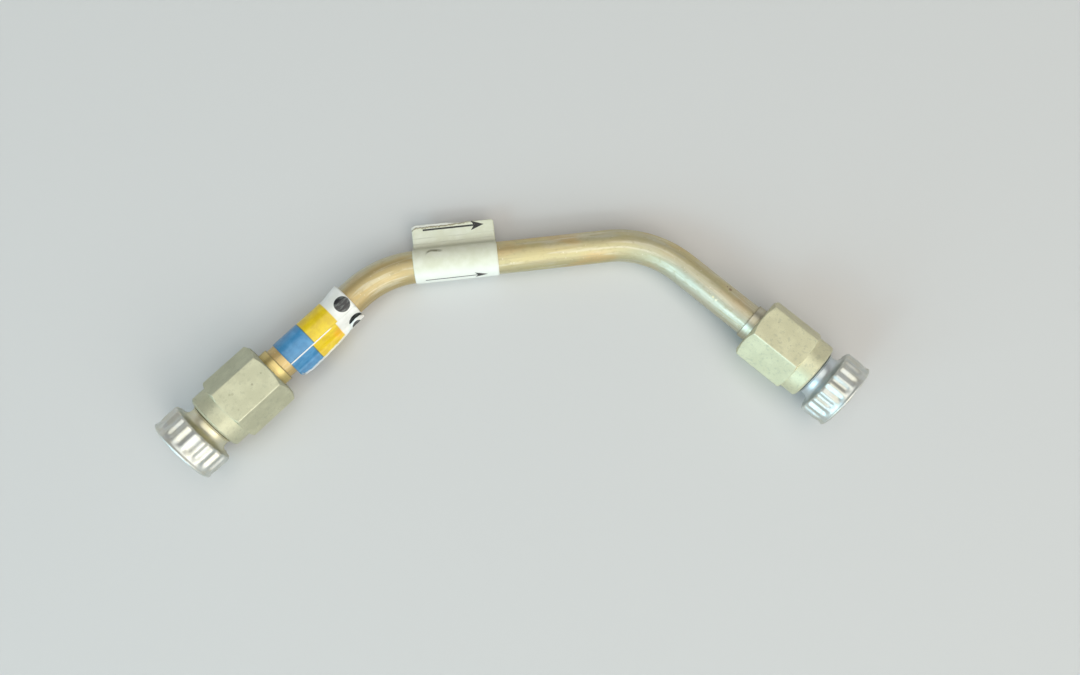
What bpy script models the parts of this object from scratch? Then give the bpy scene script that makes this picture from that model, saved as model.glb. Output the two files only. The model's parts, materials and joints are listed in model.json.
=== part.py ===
"""Bent hydraulic tube assembly with swivel nuts, protective plugs and marker films.

A 3/8 in aluminium tube has two bends in one plane. Each end carries a preset sleeve,
a swivelling hexagon nut that the sleeve's shoulder holds, and a hollow protective plug
with a fluted head, screwed part of the way into the nut. A laminated band is wrapped
round one leg, and a folded paper flag round the middle stretch.

The tube is drawn in its own plane, with the middle stretch along X and both legs
towards -Y. Last of all the whole assembly is laid down: it is turned onto the side
that its centre of mass stands over, and stood on Z = 0.
"""
import math

import bmesh
import bpy
from mathutils import Matrix, Vector

# Tube
TUBE_DIAMETER = 0.009525
TUBE_WALL = 0.00089
MIDDLE_LENGTH = 0.0788
RIGHT_LEG = 0.0532
LEFT_BEND = math.radians(38.6)
RIGHT_BEND = math.radians(48.3)
BEND_RADIUS = 0.0286
BEND_STEP = math.radians(4.5)

# Fits
SEAT_GAP = 0.00015
RUNNING_GAP = 0.0003

# Sleeve, along the leg from the tube's end
SLEEVE_SETBACK = 0.0024
SLEEVE_NOSE_LENGTH = 0.0045
SLEEVE_NOSE_ANGLE = math.radians(12.0)
SLEEVE_BODY_DIAMETER = 0.0132
SLEEVE_BODY_LENGTH = 0.0014
SLEEVE_TAIL_DIAMETER = 0.0106
SLEEVE_TAIL_LENGTH = 0.0067
SLEEVE_TAIL_CHAMFER = 0.0002

# Nut
HEX_ACROSS_FLATS = 0.01746
HEX_LENGTH = 0.0160
HEX_BACK_FACE_DIAMETER = 0.0166
HEX_FRONT_FACE_DIAMETER = 0.0184
HEX_CHAMFER_ANGLE = math.radians(30.0)
COLLAR_DIAMETER = 0.01725
COLLAR_LENGTH = 0.0048
COLLAR_CHAMFER = 0.0005
NUT_BACK_REACH = 0.00415
THREAD_BORE_DIAMETER = 0.0144
MOUTH_CHAMFER = 0.0004
LEFT_NUT_TURN = math.radians(-16.0)
RIGHT_NUT_TURN = math.radians(3.5)

# Plug
PLUG_END_CLEARANCE = 0.0006
PLUG_NECK_SHOWING = 0.0036
NECK_DIAMETER = 0.0128
NECK_FLARE_RADIUS = 0.0019
NECK_RING_DIAMETER = 0.0136
NECK_RING_WIDTH = 0.0006
NECK_RING_FROM_NUT = 0.0005
SHANK_CHAMFER = 0.0005
PLUG_WALL = 0.0009
PLUG_BORE_DIAMETER = 0.0112
HEAD_DIAMETER = 0.0202
HEAD_LENGTH = 0.0076
HEAD_WALL = 0.0013
HEAD_FLOOR = 0.0014
HEAD_EDGE_RADIUS = 0.0007
RIM_CHAMFER = 0.00035
RIM_WIDTH = 0.0009
FLUTES = 20
FLUTE_DEPTH = 0.00045
FLUTE_RUN_OUT = 0.0006

# Films
FILM_THICKNESS = 0.0002
BAND_WIDTH = 0.0240
BAND_FROM_BEND = 0.0131
BAND_TO_NUT = 0.0049
BAND_FLAG_REACH = 0.0078
BAND_FLAG_ANGLE = math.radians(96.0)
FLAG_WIDTH = 0.0240
FLAG_FROM_BEND = 0.0096
FLAG_REACH = 0.0119
FLAG_ANGLE = math.radians(-82.0)

# Densities, kg per cubic metre
ALUMINIUM_DENSITY = 2700.0
FILM_DENSITY = 1200.0

# Facets round a circle
TUBE_SIDES_RESOLUTION = 12
TURNED_STEPS = 48
BORE_STEPS = 32
STEPS_PER_FLUTE = 4
FLARE_STEPS = 4

# Modelling tolerances
MERGE_DISTANCE = 0.00001
CUTTER_MARGIN = 0.001
SHARP_ANGLE = math.radians(32.0)
LARGEST_LEAN = math.radians(25.0)

# Worked out from the sizes above
TUBE_RADIUS = TUBE_DIAMETER / 2
HEX_CORNER_RADIUS = HEX_ACROSS_FLATS / 2 / math.cos(math.pi / 6)
SLEEVE_TAIL_RADIUS = SLEEVE_TAIL_DIAMETER / 2
SLEEVE_BODY_RADIUS = SLEEVE_BODY_DIAMETER / 2
SHOULDER_DEPTH = SLEEVE_BODY_RADIUS - SLEEVE_TAIL_RADIUS
SLEEVE_BODY_TOP = -SLEEVE_SETBACK - SLEEVE_NOSE_LENGTH
SHOULDER_TOP = SLEEVE_BODY_TOP - SLEEVE_BODY_LENGTH
SLEEVE_TAIL_TOP = SHOULDER_TOP - SHOULDER_DEPTH
NUT_BACK = SLEEVE_TAIL_TOP - NUT_BACK_REACH
NUT_MOUTH = NUT_BACK + HEX_LENGTH + COLLAR_LENGTH
LEFT_LEG = BAND_FROM_BEND + BAND_WIDTH + BAND_TO_NUT - NUT_BACK
REAR_BORE_RADIUS = SLEEVE_TAIL_RADIUS + RUNNING_GAP
BORE_RADIUS = THREAD_BORE_DIAMETER / 2
PLUG_HEAD_BASE = NUT_MOUTH + PLUG_NECK_SHOWING
SHANK_RADIUS = BORE_RADIUS - RUNNING_GAP
FILM_INNER_RADIUS = TUBE_RADIUS + SEAT_GAP
FILM_OUTER_RADIUS = FILM_INNER_RADIUS + FILM_THICKNESS


def clear_scene():
    for old in list(bpy.data.objects):
        bpy.data.objects.remove(old)


def new_collection(name):
    collection = bpy.data.collections.new(name)
    bpy.context.scene.collection.children.link(collection)
    return collection


def new_material(name, colour, metallic, roughness):
    material = bpy.data.materials.new(name)
    material.use_nodes = True
    shader = material.node_tree.nodes["Principled BSDF"]
    shader.inputs["Base Color"].default_value = (*colour, 1.0)
    shader.inputs["Metallic"].default_value = metallic
    shader.inputs["Roughness"].default_value = roughness
    return material


def new_object(name, data, collection, material=None, parent=None):
    item = bpy.data.objects.new(name, data)
    collection.objects.link(item)
    item.parent = parent
    if material:
        data.materials.append(material)
    return item


def hide_cutter(item):
    item.hide_render = True
    item.display_type = "WIRE"
    return item


def turned_mesh(name, outline, closed=True):
    """Mesh of a half section: (radius, height) points, down the outer side."""
    mesh = bpy.data.meshes.new(name)
    points = [(radius, 0.0, height) for radius, height in outline]
    edges = [(i, i + 1) for i in range(len(points) - 1)]
    if closed:
        edges.append((len(points) - 1, 0))
    mesh.from_pydata(points, edges, [])
    return mesh


def add_screw(item, steps):
    screw = item.modifiers.new("Turn", "SCREW")
    screw.axis = "Z"
    screw.angle = 2 * math.pi
    screw.steps = steps
    screw.render_steps = steps
    screw.use_merge_vertices = True
    screw.merge_threshold = MERGE_DISTANCE
    screw.use_smooth_shade = True
    return item


def add_boolean(item, cutter, operation):
    boolean = item.modifiers.new(cutter.name, "BOOLEAN")
    boolean.operation = operation
    boolean.solver = "EXACT"
    boolean.object = cutter
    return item


def add_weighted_normals(item):
    normals = item.modifiers.new("Shading", "WEIGHTED_NORMAL")
    normals.keep_sharp = True
    return item


def fit_sharp_edges(item):
    """Swap the modifiers for the mesh that they make, smooth apart from its sharp edges."""
    depsgraph = bpy.context.evaluated_depsgraph_get()
    mesh = bpy.data.meshes.new_from_object(item.evaluated_get(depsgraph))
    mesh.name = item.name
    item.modifiers.clear()
    item.data = mesh
    mesh.shade_smooth()
    mesh.set_sharp_from_angle(angle=SHARP_ANGLE)
    return item


def bend_points(apex, inward, outward, angle):
    """Points of the arc that rounds the corner between two directions at an apex."""
    tangent_length = BEND_RADIUS * math.tan(angle / 2)
    start = apex - inward * tangent_length
    side = (outward - inward * inward.dot(outward)).normalized()
    centre = start + side * BEND_RADIUS
    count = max(2, round(angle / BEND_STEP))
    turns = [angle * i / count for i in range(count + 1)]
    return [centre + (inward * math.sin(t) - side * math.cos(t)) * BEND_RADIUS for t in turns]


def leg_frames():
    """Bend apexes and outward directions of the two legs."""
    left_apex = Vector((-MIDDLE_LENGTH / 2, 0.0, 0.0))
    right_apex = Vector((MIDDLE_LENGTH / 2, 0.0, 0.0))
    left_out = Vector((-math.cos(LEFT_BEND), -math.sin(LEFT_BEND), 0.0))
    right_out = Vector((math.cos(RIGHT_BEND), -math.sin(RIGHT_BEND), 0.0))
    return (left_apex, left_out), (right_apex, right_out)


def make_tube(collection, material, parent):
    """The bent tube: a curve with a round bevel, open at its ends, given its wall inwards."""
    (left_apex, left_out), (right_apex, right_out) = leg_frames()
    along = Vector((1.0, 0.0, 0.0))
    route = [left_apex + left_out * LEFT_LEG]
    route += bend_points(left_apex, -left_out, along, LEFT_BEND)
    route += bend_points(right_apex, along, right_out, RIGHT_BEND)
    route.append(right_apex + right_out * RIGHT_LEG)

    curve = bpy.data.curves.new("tube", "CURVE")
    curve.dimensions = "3D"
    curve.bevel_depth = TUBE_RADIUS
    curve.bevel_resolution = TUBE_SIDES_RESOLUTION
    spline = curve.splines.new("POLY")
    spline.points.add(len(route) - 1)
    for point, place in zip(spline.points, route):
        point.co = (*place, 1.0)
    tube = new_object("tube", curve, collection, material, parent)
    wall = tube.modifiers.new("Wall", "SOLIDIFY")
    wall.thickness = TUBE_WALL
    wall.offset = -1.0
    wall.use_even_offset = True
    return tube


def make_leg_empty(name, apex, outward, length, collection, parent):
    """An empty at the tube's end, with Z along the leg and X square to the tube's plane."""
    empty = new_object(name, None, collection, parent=parent)
    across = Vector((0.0, 0.0, 1.0))
    turn = Matrix((across, outward.cross(across), outward)).transposed()
    empty.matrix_local = Matrix.Translation(apex + outward * length) @ turn.to_4x4()
    empty.empty_display_size = TUBE_DIAMETER
    return empty


def make_sleeve(name, collection, material, leg):
    bore = TUBE_RADIUS + SEAT_GAP
    nose_end = SLEEVE_BODY_RADIUS - SLEEVE_NOSE_LENGTH * math.tan(SLEEVE_NOSE_ANGLE)
    tail_end = SLEEVE_TAIL_TOP - SLEEVE_TAIL_LENGTH
    outline = [
        (bore, -SLEEVE_SETBACK),
        (nose_end, -SLEEVE_SETBACK),
        (SLEEVE_BODY_RADIUS, SLEEVE_BODY_TOP),
        (SLEEVE_BODY_RADIUS, SHOULDER_TOP),
        (SLEEVE_TAIL_RADIUS, SLEEVE_TAIL_TOP),
        (SLEEVE_TAIL_RADIUS, tail_end + SLEEVE_TAIL_CHAMFER),
        (SLEEVE_TAIL_RADIUS - SLEEVE_TAIL_CHAMFER, tail_end),
        (bore, tail_end),
    ]
    sleeve = new_object(name, turned_mesh(name, outline), collection, material, leg)
    return fit_sharp_edges(add_screw(sleeve, BORE_STEPS))


def nut_chamfer_outline():
    """Blank that trims a hexagon's corners to cones, with room to spare past them."""
    back_radius = HEX_BACK_FACE_DIAMETER / 2
    front_radius = HEX_FRONT_FACE_DIAMETER / 2
    wide = HEX_CORNER_RADIUS + CUTTER_MARGIN
    slope = math.tan(HEX_CHAMFER_ANGLE)
    front = NUT_BACK + HEX_LENGTH
    return [
        (0.0, front),
        (front_radius, front),
        (wide, front - (wide - front_radius) * slope),
        (wide, NUT_BACK + (wide - back_radius) * slope),
        (back_radius, NUT_BACK),
        (0.0, NUT_BACK),
    ]


def nut_collar_outline():
    """The round collar, rooted inside the hexagon so that the two join."""
    radius = COLLAR_DIAMETER / 2
    root = NUT_BACK + HEX_LENGTH / 2
    return [
        (0.0, NUT_MOUTH),
        (radius - COLLAR_CHAMFER, NUT_MOUTH),
        (radius, NUT_MOUTH - COLLAR_CHAMFER),
        (radius, root),
        (0.0, root),
    ]


def nut_bore_outline():
    """The stepped bore: mouth chamfer, thread bore, 45 degree seat and rear bore."""
    past = CUTTER_MARGIN
    shoulder_drop = RUNNING_GAP * math.sqrt(2)
    seat_foot = SHOULDER_TOP - (SLEEVE_BODY_RADIUS - REAR_BORE_RADIUS) - shoulder_drop
    seat_top = seat_foot + BORE_RADIUS - REAR_BORE_RADIUS
    return [
        (0.0, NUT_MOUTH + past),
        (BORE_RADIUS + MOUTH_CHAMFER + past, NUT_MOUTH + past),
        (BORE_RADIUS, NUT_MOUTH - MOUTH_CHAMFER),
        (BORE_RADIUS, seat_top),
        (REAR_BORE_RADIUS, seat_foot),
        (REAR_BORE_RADIUS, NUT_BACK - past),
        (0.0, NUT_BACK - past),
    ]


def make_nut(name, turn, collection, cutters, material, leg):
    """Hexagon with cone-trimmed corners, joined to a round collar and bored through."""
    mesh = bpy.data.meshes.new(name)
    shape = bmesh.new()
    middle = Matrix.Translation((0.0, 0.0, NUT_BACK + HEX_LENGTH / 2))
    bmesh.ops.create_cone(
        shape, cap_ends=True, segments=6, radius1=HEX_CORNER_RADIUS,
        radius2=HEX_CORNER_RADIUS, depth=HEX_LENGTH, matrix=middle)
    shape.to_mesh(mesh)
    shape.free()
    nut = new_object(name, mesh, collection, material, leg)
    nut.rotation_euler = (0.0, 0.0, turn)

    tools = (
        ("chamfer", nut_chamfer_outline(), TURNED_STEPS, "INTERSECT"),
        ("collar", nut_collar_outline(), TURNED_STEPS, "UNION"),
        ("bore", nut_bore_outline(), BORE_STEPS, "DIFFERENCE"),
    )
    for tool, outline, steps, operation in tools:
        tool_name = name + "_" + tool
        outline_mesh = turned_mesh(tool_name, outline, closed=False)
        cutter = hide_cutter(new_object(tool_name, outline_mesh, cutters, parent=nut))
        add_boolean(nut, add_screw(cutter, steps), operation)
    return add_weighted_normals(nut)


def neck_flare():
    """Concave arc from the head's inner face down to the neck."""
    reach = NECK_FLARE_RADIUS
    turns = [math.pi / 2 * (1 - i / FLARE_STEPS) for i in range(FLARE_STEPS + 1)]
    foot = PLUG_HEAD_BASE - reach
    return [(NECK_DIAMETER / 2 + reach * (1 - math.cos(t)), foot + reach * math.sin(t)) for t in turns]


def plug_outline():
    """Half section of the hollow plug, from the cup's floor round the head to its end."""
    bore = PLUG_BORE_DIAMETER / 2
    head = HEAD_DIAMETER / 2
    neck = NECK_DIAMETER / 2
    base = PLUG_HEAD_BASE
    top = base + HEAD_LENGTH
    end = PLUG_END_CLEARANCE
    recess = head - FLUTE_DEPTH - HEAD_WALL
    flute_top = top - RIM_WIDTH
    ring = NUT_MOUTH + NECK_RING_FROM_NUT
    edge = HEAD_EDGE_RADIUS
    corner = edge * (1 - math.sqrt(0.5))
    return [
        (0.0, end + PLUG_WALL),
        (bore, end + PLUG_WALL),
        (bore, base + HEAD_FLOOR),
        (recess, base + HEAD_FLOOR),
        (recess, top - RIM_CHAMFER),
        (recess + RIM_CHAMFER, top),
        (head - RIM_CHAMFER, top),
        (head, top - RIM_CHAMFER),
        (head, flute_top),
        (head, flute_top - FLUTE_RUN_OUT),
        (head, base + edge),
        (head - corner, base + corner),
        (head - edge, base),
        *neck_flare(),
        (neck, ring + NECK_RING_WIDTH / 2),
        (NECK_RING_DIAMETER / 2, ring),
        (neck, ring - NECK_RING_WIDTH / 2),
        (neck, NUT_MOUTH),
        (SHANK_RADIUS, NUT_MOUTH - SHANK_CHAMFER),
        (SHANK_RADIUS, end + SHANK_CHAMFER),
        (SHANK_RADIUS - SHANK_CHAMFER, end),
        (0.0, end),
    ]


def press_flutes(mesh):
    """Draw the head's skirt in between its crests, from the rim's run-out to the inner edge."""
    skirt = HEAD_DIAMETER / 2 - HEAD_EDGE_RADIUS - FLUTE_DEPTH / 2
    flute_top = PLUG_HEAD_BASE + HEAD_LENGTH - RIM_WIDTH
    for vertex in mesh.vertices:
        x, y, z = vertex.co
        radius = math.hypot(x, y)
        if radius < skirt or z > flute_top - FLUTE_RUN_OUT / 2:
            continue
        depth = FLUTE_DEPTH * (1 - math.cos(FLUTES * math.atan2(y, x))) / 2
        shrink = 1 - depth / radius
        vertex.co = (x * shrink, y * shrink, z)


def make_plug(name, collection, material, nut):
    """Hollow screwed plug, parented to its nut, with its origin on the nut's axis."""
    outline_mesh = turned_mesh(name, plug_outline(), closed=False)
    plug = new_object(name, outline_mesh, collection, material, nut)
    fit_sharp_edges(add_screw(plug, FLUTES * STEPS_PER_FLUTE))
    press_flutes(plug.data)
    return plug


def wrap_outline(reach, layers):
    """Round the tube and out along a straight flag: section points, flag along +X."""
    half = layers * FILM_THICKNESS / 2
    leave = math.asin(half / FILM_OUTER_RADIUS)
    sweep = 2 * (math.pi - leave)
    turns = [leave + sweep * i / BORE_STEPS for i in range(BORE_STEPS + 1)]
    arc = [(FILM_OUTER_RADIUS * math.cos(t), FILM_OUTER_RADIUS * math.sin(t)) for t in turns]
    return [(reach, half)] + arc + [(reach, -half)]


def circle_outline(radius, count):
    turns = [2 * math.pi * i / count for i in range(count)]
    return [(radius * math.cos(t), radius * math.sin(t)) for t in turns]


def make_film(name, reach, layers, width, collection, material, parent):
    """A film wrapped round the tube, with its ends stuck together as a flag."""
    curve = bpy.data.curves.new(name, "CURVE")
    curve.dimensions = "2D"
    curve.fill_mode = "BOTH"
    curve.extrude = width / 2
    for outline in (wrap_outline(reach, layers), circle_outline(FILM_INNER_RADIUS, BORE_STEPS)):
        spline = curve.splines.new("POLY")
        spline.points.add(len(outline) - 1)
        spline.use_cyclic_u = True
        for point, place in zip(spline.points, outline):
            point.co = (*place, 0.0, 1.0)
    guide = new_object(name, curve, collection, material, parent)
    depsgraph = bpy.context.evaluated_depsgraph_get()
    mesh = bpy.data.meshes.new_from_object(guide.evaluated_get(depsgraph))
    shape = bmesh.new()
    shape.from_mesh(mesh)
    bmesh.ops.remove_doubles(shape, verts=shape.verts, dist=MERGE_DISTANCE)
    bmesh.ops.recalc_face_normals(shape, faces=shape.faces)
    shape.to_mesh(mesh)
    shape.free()
    bpy.data.objects.remove(guide)
    film = new_object(name, mesh, collection, parent=parent)
    mesh.shade_smooth()
    mesh.set_sharp_from_angle(angle=SHARP_ANGLE)
    return film


def world_mesh(item):
    """The object's evaluated mesh, in world space, as a bmesh of triangles."""
    depsgraph = bpy.context.evaluated_depsgraph_get()
    evaluated = item.evaluated_get(depsgraph)
    shape = bmesh.new()
    shape.from_mesh(evaluated.to_mesh())
    evaluated.to_mesh_clear()
    shape.transform(item.matrix_world)
    bmesh.ops.triangulate(shape, faces=shape.faces)
    return shape


def lay_down(parts, base, films):
    """Turn the assembly onto the side nearest its centre of mass, and stand it on Z = 0.

    Of the flat sides of its convex hull that face roughly down, the one nearest the
    centre of mass is the side that it rests on without tipping.
    """
    bpy.context.view_layer.update()
    total = 0.0
    moment = Vector((0.0, 0.0, 0.0))
    hull = bmesh.new()
    for item in parts:
        density = FILM_DENSITY if item in films else ALUMINIUM_DENSITY
        shape = world_mesh(item)
        for face in shape.faces:
            a, b, c = (vertex.co for vertex in face.verts)
            mass = density * a.dot(b.cross(c)) / 6
            total += mass
            moment += mass * (a + b + c) / 4
        for vertex in shape.verts:
            hull.verts.new(vertex.co)
        shape.free()
    centre = moment / total
    bmesh.ops.convex_hull(hull, input=hull.verts)
    hull.normal_update()
    sides = [face for face in hull.faces if face.normal.z < -math.cos(LARGEST_LEAN)]
    side = min(sides, key=lambda face: face.normal.dot(face.verts[0].co - centre))
    turn = side.normal.rotation_difference(Vector((0.0, 0.0, -1.0)))
    points = [turn @ vertex.co for vertex in hull.verts]
    hull.free()

    heads = [turn @ item.matrix_world.translation for item in parts if "plug" in item.name]
    line = heads[1] - heads[0]
    level = Matrix.Rotation(-math.atan2(line.y, line.x), 3, "Z")
    points = [level @ point for point in points]
    low = [min(point[axis] for point in points) for axis in range(3)]
    high = [max(point[axis] for point in points) for axis in range(3)]
    shift = Vector((-(low[0] + high[0]) / 2, -(low[1] + high[1]) / 2, -low[2]))
    base.matrix_world = Matrix.Translation(shift) @ (level @ turn.to_matrix()).to_4x4()


def build():
    clear_scene()
    collection = new_collection("bent_tube_assembly")
    cutters = new_collection("cutters")
    tube_finish = new_material("chromated_tube", (0.62, 0.55, 0.38), 1.0, 0.35)
    sleeve_finish = new_material("chromated_sleeve", (0.60, 0.48, 0.26), 1.0, 0.38)
    nut_finish = new_material("anodised_nut", (0.55, 0.54, 0.42), 0.6, 0.6)
    plug_finish = new_material("bright_plug", (0.80, 0.80, 0.78), 1.0, 0.25)
    band_finish = new_material("laminated_band", (0.06, 0.30, 0.65), 0.0, 0.2)
    flag_finish = new_material("paper_flag", (0.80, 0.80, 0.74), 0.0, 0.5)

    base = new_object("assembly", None, collection)
    tube = make_tube(collection, tube_finish, base)
    parts = [tube]
    (left_apex, left_out), (right_apex, right_out) = leg_frames()
    ends = (
        ("left", left_apex, left_out, LEFT_LEG, LEFT_NUT_TURN),
        ("right", right_apex, right_out, RIGHT_LEG, RIGHT_NUT_TURN),
    )
    for side, apex, outward, length, turn in ends:
        leg = make_leg_empty("leg_" + side, apex, outward, length, collection, base)
        sleeve = make_sleeve("sleeve_" + side, collection, sleeve_finish, leg)
        nut = make_nut("coupling_nut_" + side, turn, collection, cutters, nut_finish, leg)
        plug = make_plug("protective_plug_" + side, collection, plug_finish, nut)
        parts += [sleeve, nut, plug]

    band = make_film(
        "identification_band", BAND_FLAG_REACH, 1, BAND_WIDTH, collection, band_finish, base)
    band_place = left_apex + left_out * (BAND_FROM_BEND + BAND_WIDTH / 2)
    flag = make_film("flow_flag", FLAG_REACH, 2, FLAG_WIDTH, collection, flag_finish, base)
    flag_place = left_apex + Vector((FLAG_FROM_BEND + FLAG_WIDTH / 2, 0.0, 0.0))
    films = [band, flag]
    up = Vector((0.0, 0.0, 1.0))
    wraps = (
        (band, band_place, -left_out, BAND_FLAG_ANGLE),
        (flag, flag_place, Vector((1.0, 0.0, 0.0)), FLAG_ANGLE),
    )
    for film, place, along, angle in wraps:
        frame = Matrix((up, along.cross(up), along)).transposed()
        frame = frame @ Matrix.Rotation(angle, 3, "Z")
        film.matrix_local = Matrix.Translation(place) @ frame.to_4x4()
    lay_down(parts + films, base, films)


build()
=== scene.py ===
import json
import math

import bmesh
import bpy
import numpy as np
from mathutils import Matrix, Vector, noise


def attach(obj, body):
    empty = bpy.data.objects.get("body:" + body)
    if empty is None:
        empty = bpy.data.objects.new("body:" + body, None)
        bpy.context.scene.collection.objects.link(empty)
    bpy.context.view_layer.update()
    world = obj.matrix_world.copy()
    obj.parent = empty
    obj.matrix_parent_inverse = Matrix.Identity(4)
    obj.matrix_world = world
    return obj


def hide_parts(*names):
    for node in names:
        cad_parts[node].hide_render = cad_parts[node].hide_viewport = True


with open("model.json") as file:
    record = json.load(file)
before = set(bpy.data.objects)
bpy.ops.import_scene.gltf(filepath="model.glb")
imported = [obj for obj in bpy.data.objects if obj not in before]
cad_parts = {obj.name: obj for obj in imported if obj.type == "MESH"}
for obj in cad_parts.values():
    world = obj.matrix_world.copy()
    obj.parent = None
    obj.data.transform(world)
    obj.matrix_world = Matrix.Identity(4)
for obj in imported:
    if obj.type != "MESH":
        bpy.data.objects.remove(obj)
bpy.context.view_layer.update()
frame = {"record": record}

MM = 0.001

# Sizes in millimetres; the main ones are those of part.py. Heights of sleeves, nuts and plugs
# are measured outwards along their leg, from the tube's end
TUBE_RADIUS = 4.7625
TUBE_WALL = 0.89
LEFT_LEG = 55.75
RIGHT_LEG = 53.2
BEND_RADIUS = 28.6

SLEEVE_NOSE = -2.4
SLEEVE_BODY_TOP = -6.9
SHOULDER_TOP = -8.3
SLEEVE_TAIL_TOP = -9.6
SLEEVE_END = -16.3
SLEEVE_NOSE_RADIUS = 5.64
SLEEVE_BODY_RADIUS = 6.6
SLEEVE_TAIL_RADIUS = 5.3
SLEEVE_CLEARANCE = 0.03
SLEEVE_EDGE = 0.18

HEX_INRADIUS = 8.73
NUT_BACK = -13.75
HEX_FRONT = 2.25
NUT_MOUTH = 7.05
HEX_BACK_FACE = 8.3
HEX_FRONT_FACE = 9.2
CHAMFER_SLOPE = math.tan(math.radians(30.0))
COLLAR_RADIUS = 8.625
REAR_BORE = 5.6
SEAT_CLEARANCE = 0.42
MOUTH_CHAMFER = 0.5
LEAD_IN_WIDTH, LEAD_IN_DEPTH = 0.3, 0.4
NUT_EDGE = 0.14
HEX_CORNER_WIDTH = 0.26
HEX_CHAMFER_WIDTH = 0.16
HEX_MARGIN = 0.3
NUT_TURN = {"left": math.radians(-16.0), "right": math.radians(3.5)}

HEAD_BASE = 10.65
HEAD_TOP = 18.25
HEAD_RADIUS = 10.1
HEAD_FLOOR = 12.05
RECESS_RADIUS = 8.35
NECK_RADIUS = 6.4
PLUG_BORE = 5.6
PLUG_END = 0.6
PLUG_END_WALL = 0.9
PLUG_END_CHAMFER = 0.5
PLUG_EDGE = 0.16
NECK_FLARE = 1.9
RECESS_CHAMFER = 0.35
RIM_CHAMFER = 0.4
HEAD_FOOT_CUT, HEAD_FOOT_EDGE = 0.7, 0.2
# Groove below the rim: its depth, and how far below the head's top it starts, is cut in full,
# starts to run out, and has run out
GROOVE_CUT = 0.22
GROOVE_PLACES = (0.6, 1.0, 1.5, 3.4)
RING_HEIGHT = 7.55
RING_RISE = 0.4
RING_HALF_WIDTH = 0.3
RING_HALF_TOP = 0.1
FLUTES = 20
FLUTE_DEPTH = 0.45

# 9/16-18 thread: crests of plug and nut stay apart, so that the plug can slide
PITCH = 1.411
PLUG_CREST, PLUG_ROOT = 6.93, 6.5
NUT_CREST, NUT_ROOT = 7.1, 7.5
THREAD_SLOPE, THREAD_FLAT = 3.2, 0.3

# Fineness of the meshes: sides round a piece, the longest steps along it, and the distance
# under which points are merged
TUBE_SIDES = 72
TUBE_STEP = 1.2
BEND_STEP = math.radians(1.5)
SLEEVE_SIDES = 96
SLEEVE_STEP = 0.7
NUT_SIDES = 360
NUT_STEP = 0.9
CHAMFER_STEP = 0.14
PLUG_SIDES = FLUTES * 16
PLUG_STEP = 0.8
HEAD_STEP = 0.25
THREAD_STEP = PITCH / 12
MERGE_DISTANCE = 0.0005

FILM_RADIUS = 4.98
BAND_HALF_WIDTH = 12.0
BAND_MIDDLE = 25.1
BAND_ANGLE = math.radians(96.0)
FLAG_HALF_WIDTH = 12.0
FLAG_MIDDLE = 21.6
FLAG_REACH = 11.9
FLAG_ANGLE = math.radians(-82.0)
FLAG_THICKNESS = 0.12
BAND_THICKNESS = 0.1

# A film's own coordinates: along the tube, round it, and the distance from the film's free
# edge, which is set to this value away from that edge
AWAY_FROM_EDGE = 9.0


# Places, worked out from the record's joints

def leg(side):
    joints = {joint["name"]: joint for joint in frame["record"]["behaviour"]["joints"]}
    joint = joints[side + "_nut_swivel"]
    return Vector(joint["pos_m"]), Vector(joint["axis"]).normalized()


LEFT_END, LEFT_OUT = leg("left")
RIGHT_END, RIGHT_OUT = leg("right")
UP = LEFT_OUT.cross(RIGHT_OUT).normalized()
LEFT_APEX = LEFT_END - LEFT_OUT * LEFT_LEG * MM
RIGHT_APEX = RIGHT_END - RIGHT_OUT * RIGHT_LEG * MM
ALONG = (RIGHT_APEX - LEFT_APEX).normalized()


def place(origin, axis, turn=0.0):
    """Frame with Z along the axis and X square to the tube's plane, in millimetres."""
    turned = Matrix((UP, axis.cross(UP), axis)).transposed().to_4x4()
    scale = Matrix.Scale(MM, 4)
    return Matrix.Translation(origin) @ turned @ Matrix.Rotation(turn, 4, "Z") @ scale


LEG_PLACE = {"left": (LEFT_END, LEFT_OUT), "right": (RIGHT_END, RIGHT_OUT)}
BAND_PLACE = place(LEFT_APEX + LEFT_OUT * BAND_MIDDLE * MM, -LEFT_OUT)
FLAG_PLACE = place(LEFT_APEX + ALONG * FLAG_MIDDLE * MM, ALONG)


# Meshes

def grid_piece(name, points, around, matrix, flat=None, edge_wear_and_highlight=None):
    """Mesh of a grid of points in millimetres, with its own coordinates kept as attributes."""
    rows, columns = points.shape[:2]
    index = np.arange(rows * columns).reshape(rows, columns)
    if around:
        index = np.hstack([index, index[:, :1]])
    corners = (index[:-1, :-1], index[:-1, 1:], index[1:, 1:], index[1:, :-1])
    faces = np.stack(corners, -1).reshape(-1, 4)
    mesh = bpy.data.meshes.new(name)
    mesh.from_pydata(points.reshape(-1, 3).tolist(), [], faces.tolist())
    if flat is not None:
        layer = mesh.attributes.new("flat", "FLOAT_VECTOR", "POINT")
        layer.data.foreach_set("vector", flat.astype(np.float32).ravel())
    if edge_wear_and_highlight is not None:
        layer = mesh.attributes.new("edge_wear_and_highlight", "FLOAT", "POINT")
        layer.data.foreach_set("value", edge_wear_and_highlight.astype(np.float32).ravel())
    shape = bmesh.new()
    shape.from_mesh(mesh)
    bmesh.ops.remove_doubles(shape, verts=shape.verts, dist=MERGE_DISTANCE)
    bmesh.ops.dissolve_degenerate(shape, edges=shape.edges, dist=MERGE_DISTANCE)
    if around:
        bmesh.ops.recalc_face_normals(shape, faces=shape.faces)
    shape.transform(matrix)
    shape.to_mesh(mesh)
    shape.free()
    mesh.shade_smooth()
    item = bpy.data.objects.new(name, mesh)
    bpy.context.scene.collection.objects.link(item)
    return item


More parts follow.
